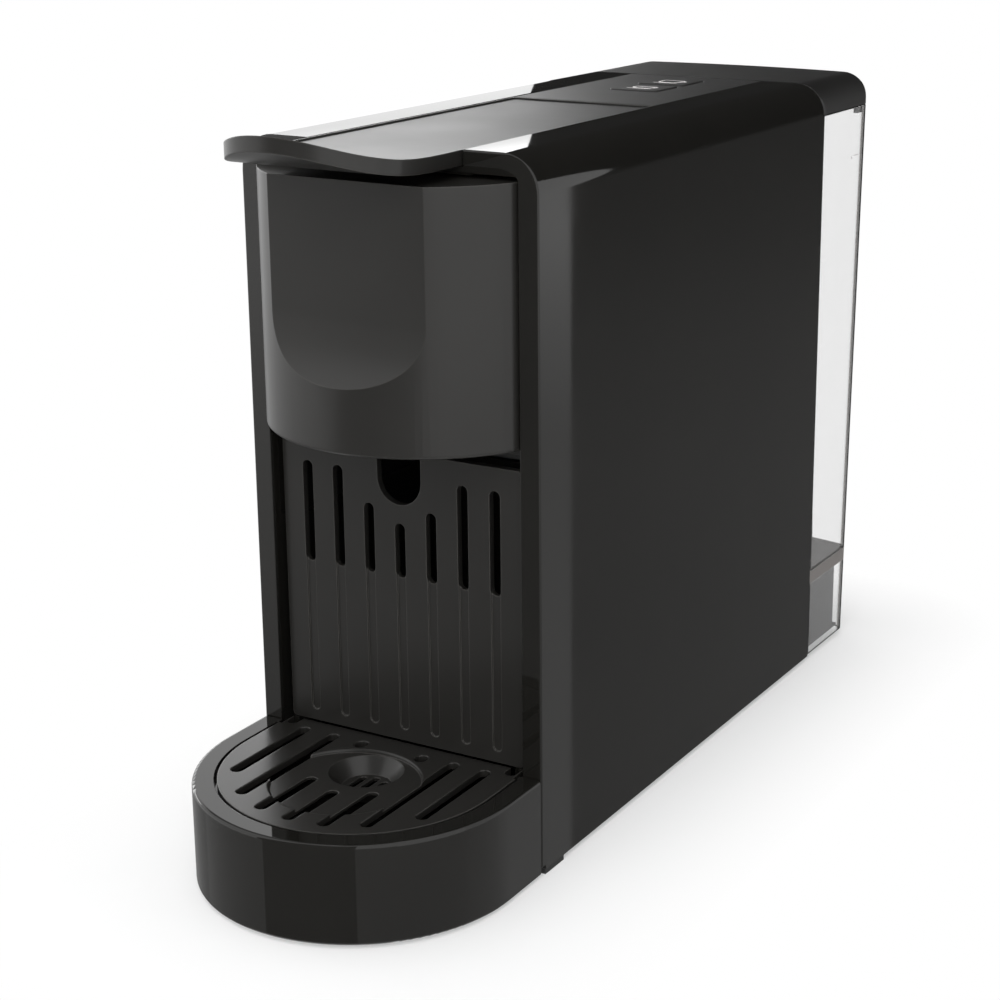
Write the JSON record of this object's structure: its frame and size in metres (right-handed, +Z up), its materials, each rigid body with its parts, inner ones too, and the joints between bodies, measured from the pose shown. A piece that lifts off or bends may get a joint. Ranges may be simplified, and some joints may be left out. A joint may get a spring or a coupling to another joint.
{
  "type": "pod coffee machine",
  "caption": "Slim capsule coffee machine with an arched housing, lift-up lever, drip tray and used-capsule bin in front, and a clear water tank at the back.",
  "frame": {"origin": "on the table, under the middle of the machine's overall width and depth", "axes": "+X across the width to the right seen from the front, -Y out of the front where the cup stands, +Z up"},
  "size_m": [0.11, 0.3438, 0.2442],
  "materials": {
    "gloss_black": "high gloss",
    "satin_black": "satin",
    "matte_black": "matte",
    "silk_black": "satin",
    "grey_plastic": "moulded",
    "rubber": "matte",
    "steel": "brushed",
    "aluminium": "cast",
    "clear": "clear moulded plastic",
    "board": "circuit board",
    "hose": "silicone"
  },
  "bodies": {
    "chassis": {"housing": "gloss_black", "base_frame": "matte_black", "back_plate": "matte_black", "feet": "rubber", "head_cover": "satin_black", "lever_pin": "steel", "control_panel": "silk_black", "control_board": "board", "brew_frame": "grey_plastic", "injection_head": "grey_plastic", "spout": "matte_black", "water_inlet": "rubber", "pump": "steel", "pump_mount": "rubber", "heater": "aluminium", "heater_bracket": "steel", "flow_meter": "grey_plastic", "power_board": "board", "hose_tank": "hose", "hose_pump": "hose", "hose_heater": "hose", "hose_brew": "hose", "cord_gland": "rubber", "base_screws": "steel"},
    "lever_body": {"lever": "gloss_black", "lever_inlay": "silk_black"},
    "carriage": {"brew_carriage": "matte_black"},
    "short_key": {"key_short": "satin_black"},
    "long_key": {"key_long": "satin_black"},
    "tank": {"water_tank": "clear"},
    "lid": {"tank_lid": "satin_black"},
    "valve": {"tank_valve": "grey_plastic"},
    "tray": {"drip_tray": "gloss_black"},
    "grid": {"drip_grid": "satin_black"},
    "bin": {"capsule_bin": "satin_black"}
  },
  "joints": [
    {"name": "lever_hinge", "type": "hinge", "parent": "chassis", "child": "lever_body", "pos_m": [0, 0.02038, 0.227], "axis": [-1, 0, 0], "range_deg": [0, 82]},
    {"name": "carriage_slide", "type": "slide", "parent": "chassis", "child": "carriage", "axis": [0, -1, 0], "range_m": [0, 0.0287]},
    {"name": "short_key_press", "type": "slide", "parent": "chassis", "child": "short_key", "axis": [0, 0, -1], "range_m": [0, 0.0012], "stiffness_N_per_m": 1500, "springref_m": -0.0008},
    {"name": "long_key_press", "type": "slide", "parent": "chassis", "child": "long_key", "axis": [0, 0, -1], "range_m": [0, 0.0012], "stiffness_N_per_m": 1500, "springref_m": -0.0008},
    {"name": "tank_lift", "type": "slide", "parent": "chassis", "child": "tank", "axis": [0, 0, 1], "range_m": [0, 0.08]},
    {"name": "lid_lift", "type": "slide", "parent": "tank", "child": "lid", "axis": [0, 0, 1], "range_m": [0, 0.05]},
    {"name": "valve_slide", "type": "slide", "parent": "tank", "child": "valve", "axis": [0, 0, 1], "range_m": [0, 0.002], "stiffness_N_per_m": 60, "springref_m": -0.001},
    {"name": "tray_slide", "type": "slide", "parent": "chassis", "child": "tray", "axis": [0, -1, 0], "range_m": [0, 0.115]},
    {"name": "grid_lift", "type": "slide", "parent": "tray", "child": "grid", "axis": [0, 0, 1], "range_m": [0, 0.04]},
    {"name": "bin_slide", "type": "slide", "parent": "chassis", "child": "bin", "axis": [0, -1, 0], "range_m": [0, 0.105]}
  ],
  "couplings": [
    {"joint": "carriage_slide", "follows": "lever_hinge", "m_per_rad": 0.02}
  ]
}
